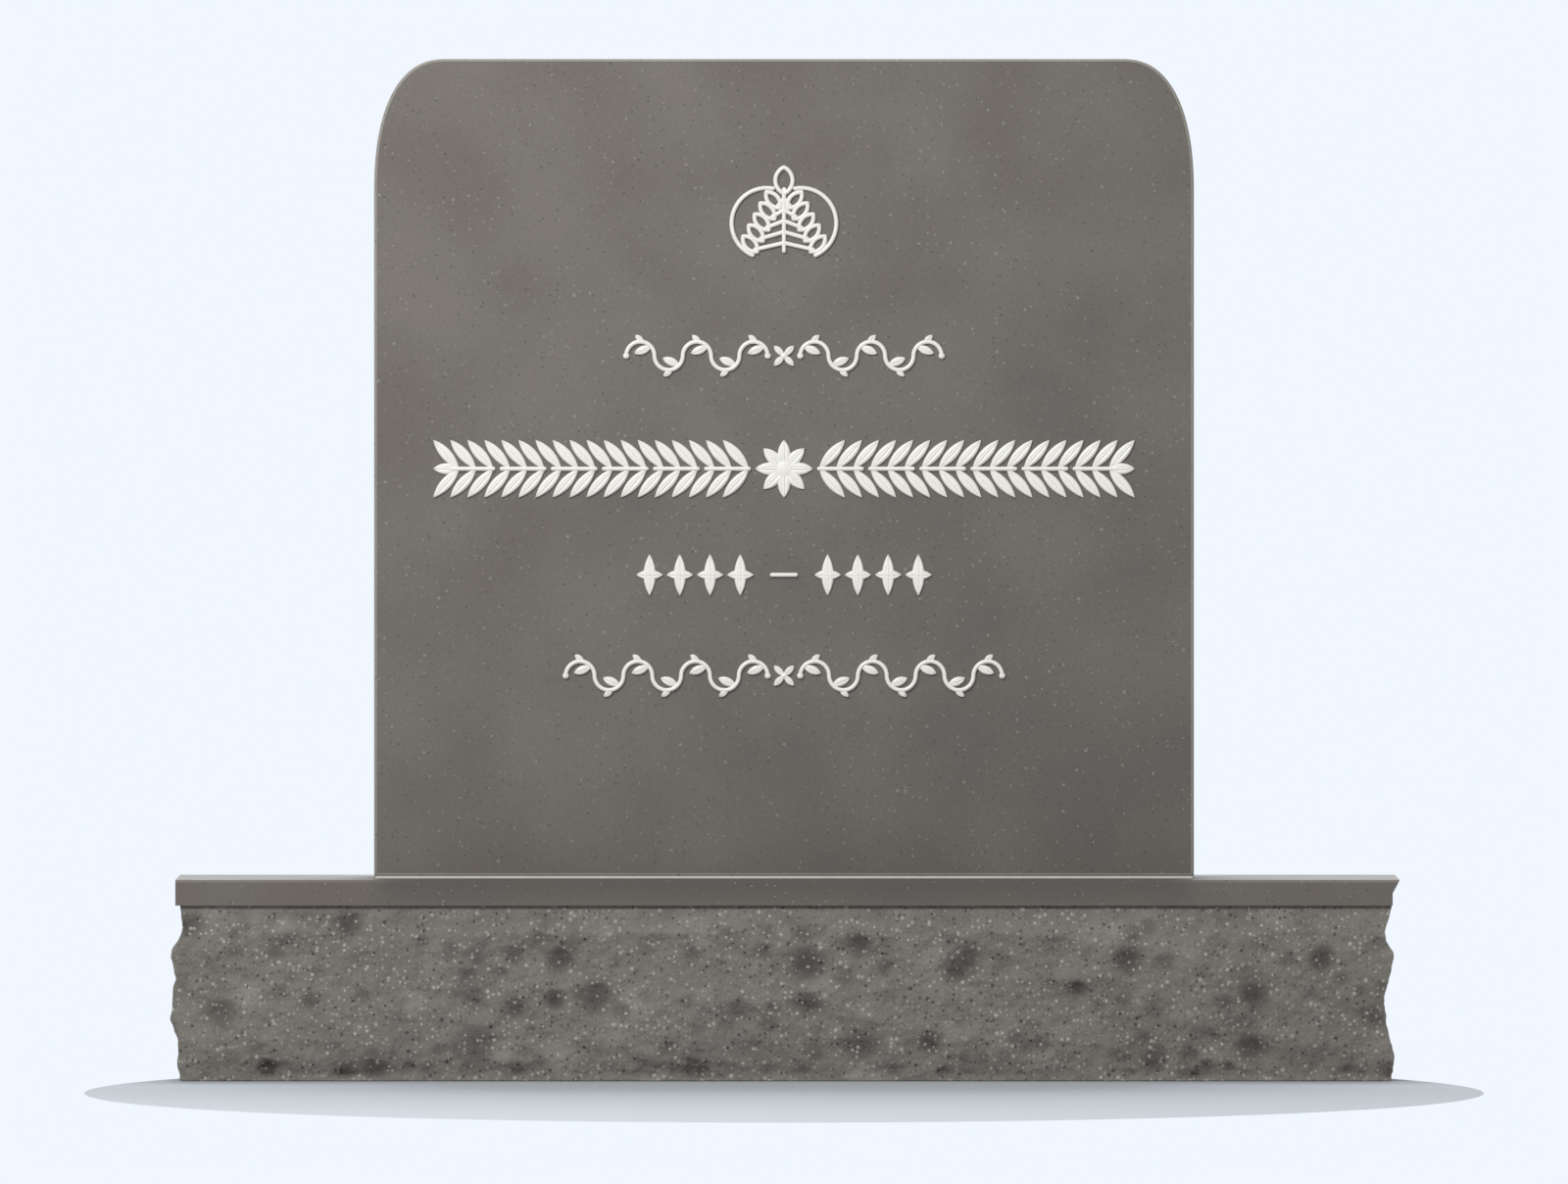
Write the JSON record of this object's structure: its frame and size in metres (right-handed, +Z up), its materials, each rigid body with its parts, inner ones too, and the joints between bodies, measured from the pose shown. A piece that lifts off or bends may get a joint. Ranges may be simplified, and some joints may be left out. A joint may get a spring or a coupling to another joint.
{
  "type": "headstone",
  "caption": "Upright headstone: a granite tablet with rounded shoulders bedded on a wider base with rock-pitched sides, and raised white ornament on its face.",
  "frame": {"origin": "middle of the base's sawn underside, below the middle of the tablet", "axes": "+Z up, the face with the ornament looks towards -Y, +X to the right of someone who faces it"},
  "size_m": [0.9151, 0.3186, 0.759],
  "materials": {
    "honed_granite": "honed smooth, warm grey with fine light and dark flecks",
    "pitched_granite": "rock pitched on the four sides, honed on the top and margin",
    "setting_compound": "matte",
    "dowel_steel": "satin",
    "white_enamel": "satin"
  },
  "bodies": {
    "root": {"tablet": "honed_granite", "base": "pitched_granite", "setting_bed": "setting_compound", "left_dowel": "dowel_steel", "right_dowel": "dowel_steel", "emblem": "white_enamel", "left_upper_scroll": "white_enamel", "upper_bud": "white_enamel", "right_upper_scroll": "white_enamel", "left_lower_scroll": "white_enamel", "lower_bud": "white_enamel", "right_lower_scroll": "white_enamel", "left_spray_1": "white_enamel", "left_spray_2": "white_enamel", "left_spray_3": "white_enamel", "left_spray_4": "white_enamel", "left_spray_5": "white_enamel", "left_spray_6": "white_enamel", "rosette": "white_enamel", "right_spray_1": "white_enamel", "right_spray_2": "white_enamel", "right_spray_3": "white_enamel", "right_spray_4": "white_enamel", "right_spray_5": "white_enamel", "right_spray_6": "white_enamel", "left_star_1": "white_enamel", "left_star_2": "white_enamel", "left_star_3": "white_enamel", "left_star_4": "white_enamel", "dash": "white_enamel", "right_star_1": "white_enamel", "right_star_2": "white_enamel", "right_star_3": "white_enamel", "right_star_4": "white_enamel"}
  },
  "joints": []
}
